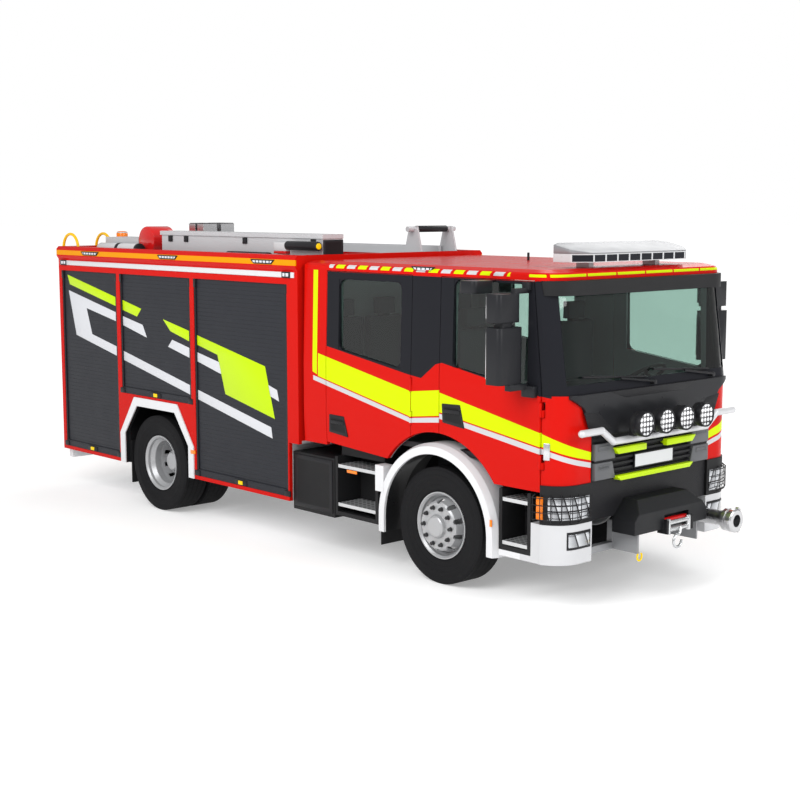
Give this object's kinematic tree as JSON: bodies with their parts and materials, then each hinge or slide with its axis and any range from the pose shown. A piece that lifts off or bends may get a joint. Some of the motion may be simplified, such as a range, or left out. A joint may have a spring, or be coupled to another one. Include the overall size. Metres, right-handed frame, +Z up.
{
  "type": "fire engine",
  "caption": "Crew-cab fire engine with roller-shutter equipment body, front winch, lamp bar, roof box, light mast, steered front wheels and opening cab doors.",
  "frame": {"origin": "on the ground, under the middle of the overall length and width", "axes": "+X forward, +Y to the vehicle's left, +Z up"},
  "size_m": [8.23, 3.12, 3.12],
  "materials": {
    "dark_metal": "satin",
    "tyre_rubber": "matte",
    "silver_wheel": "satin",
    "red_paint": "gloss",
    "tinted_glass": "clear, lightly tinted",
    "satin_black": "satin",
    "seat_fabric": "woven",
    "black_plastic": "matte",
    "anthracite_paint": "satin",
    "light_grey_paint": "satin",
    "lamp_metal": "satin",
    "white_paint": "gloss",
    "yellow_paint": "gloss"
  },
  "bodies": {
    "chassis": {"chassis_frame": "dark_metal", "front_axle": "dark_metal", "rear_axle": "dark_metal", "leaf_springs": "dark_metal", "engine": "dark_metal", "propeller_shaft": "dark_metal", "cab_floor": "satin_black", "cab_walls": "red_paint", "cab_roof": "red_paint", "windscreen": "tinted_glass", "dashboard": "satin_black", "seats": "seat_fabric", "sun_visor": "black_plastic", "light_bar": "light_grey_paint", "front_lid": "anthracite_paint", "corner_panels": "red_paint", "grille": "black_plastic", "lamps": "lamp_metal", "bumpers": "white_paint", "front_frame": "light_grey_paint", "winch": "black_plastic", "outlet_coupling": "lamp_metal", "side_skirts": "black_plastic", "step_treads": "lamp_metal", "arch_trims": "white_paint", "mudguards": "black_plastic", "body_floor": "light_grey_paint", "body_walls": "red_paint", "body_roof": "red_paint", "shutters": "anthracite_paint", "rear_ladder": "yellow_paint", "roof_box": "light_grey_paint", "roof_gear": "light_grey_paint"},
    "knuckle_left": {"knuckle_left": "dark_metal"},
    "knuckle_right": {"knuckle_right": "dark_metal"},
    "tie_rod": {"tie_rod": "dark_metal"},
    "wheel_front_left": {"tyre_front_left": "tyre_rubber", "rim_front_left": "silver_wheel"},
    "wheel_front_right": {"tyre_front_right": "tyre_rubber", "rim_front_right": "silver_wheel"},
    "wheels_rear_left": {"tyres_rear_left": "tyre_rubber", "rims_rear_left": "silver_wheel"},
    "wheels_rear_right": {"tyres_rear_right": "tyre_rubber", "rims_rear_right": "silver_wheel"},
    "front_door_left": {"door_front_left": "red_paint", "glass_front_left": "tinted_glass", "mirrors_left": "satin_black"},
    "front_door_right": {"door_front_right": "red_paint", "glass_front_right": "tinted_glass", "mirrors_right": "satin_black"},
    "crew_door_left": {"door_rear_left": "red_paint", "glass_rear_left": "tinted_glass"},
    "crew_door_right": {"door_rear_right": "red_paint", "glass_rear_right": "tinted_glass"},
    "roof_box_lid": {"roof_box_lid": "light_grey_paint"},
    "light_mast": {"light_mast": "lamp_metal"}
  },
  "joints": [
    {"name": "steer_left", "type": "hinge", "parent": "chassis", "child": "knuckle_left", "pos_m": [2.315, 0.88, 0.522], "axis": [0, 0, 1], "range_deg": [-40, 40]},
    {"name": "steer_right", "type": "hinge", "parent": "chassis", "child": "knuckle_right", "pos_m": [2.315, -0.88, 0.522], "axis": [0, 0, 1], "range_deg": [-40, 40]},
    {"name": "tie_rod_swing", "type": "hinge", "parent": "knuckle_left", "child": "tie_rod", "pos_m": [2.115, 0.88, 0.366], "axis": [0, 0, 1], "range_deg": [-40, 40]},
    {"name": "spin_front_left", "type": "hinge", "parent": "knuckle_left", "child": "wheel_front_left", "pos_m": [2.315, 1.03, 0.522], "axis": [0, 1, 0], "continuous": true},
    {"name": "spin_front_right", "type": "hinge", "parent": "knuckle_right", "child": "wheel_front_right", "pos_m": [2.315, -1.03, 0.522], "axis": [0, 1, 0], "continuous": true},
    {"name": "spin_rear_left", "type": "hinge", "parent": "chassis", "child": "wheels_rear_left", "pos_m": [-2.035, 0.915, 0.522], "axis": [0, 1, 0], "continuous": true},
    {"name": "spin_rear_right", "type": "hinge", "parent": "chassis", "child": "wheels_rear_right", "pos_m": [-2.035, -0.915, 0.522], "axis": [0, 1, 0], "continuous": true},
    {"name": "open_front_left", "type": "hinge", "parent": "chassis", "child": "front_door_left", "pos_m": [3.518, 1.215, 1.4], "axis": [0, 0, -1], "range_deg": [0, 75]},
    {"name": "open_front_right", "type": "hinge", "parent": "chassis", "child": "front_door_right", "pos_m": [3.518, -1.215, 1.4], "axis": [0, 0, 1], "range_deg": [0, 75]},
    {"name": "open_crew_left", "type": "hinge", "parent": "chassis", "child": "crew_door_left", "pos_m": [1.988, 1.215, 1.5], "axis": [0, 0, -1], "range_deg": [0, 75]},
    {"name": "open_crew_right", "type": "hinge", "parent": "chassis", "child": "crew_door_right", "pos_m": [1.988, -1.215, 1.5], "axis": [0, 0, 1], "range_deg": [0, 75]},
    {"name": "lid_lift", "type": "hinge", "parent": "chassis", "child": "roof_box_lid", "pos_m": [-0.985, -0.626, 3.006], "axis": [-1, 0, 0], "range_deg": [0, 95]},
    {"name": "mast_lift", "type": "hinge", "parent": "chassis", "child": "light_mast", "pos_m": [-1.135, -0.3, 2.95], "axis": [0, 1, 0], "range_deg": [0, 90]}
  ],
  "couplings": [
    {"joint": "steer_right", "follows": "steer_left", "ratio": 1},
    {"joint": "tie_rod_swing", "follows": "steer_left", "ratio": -1}
  ]
}
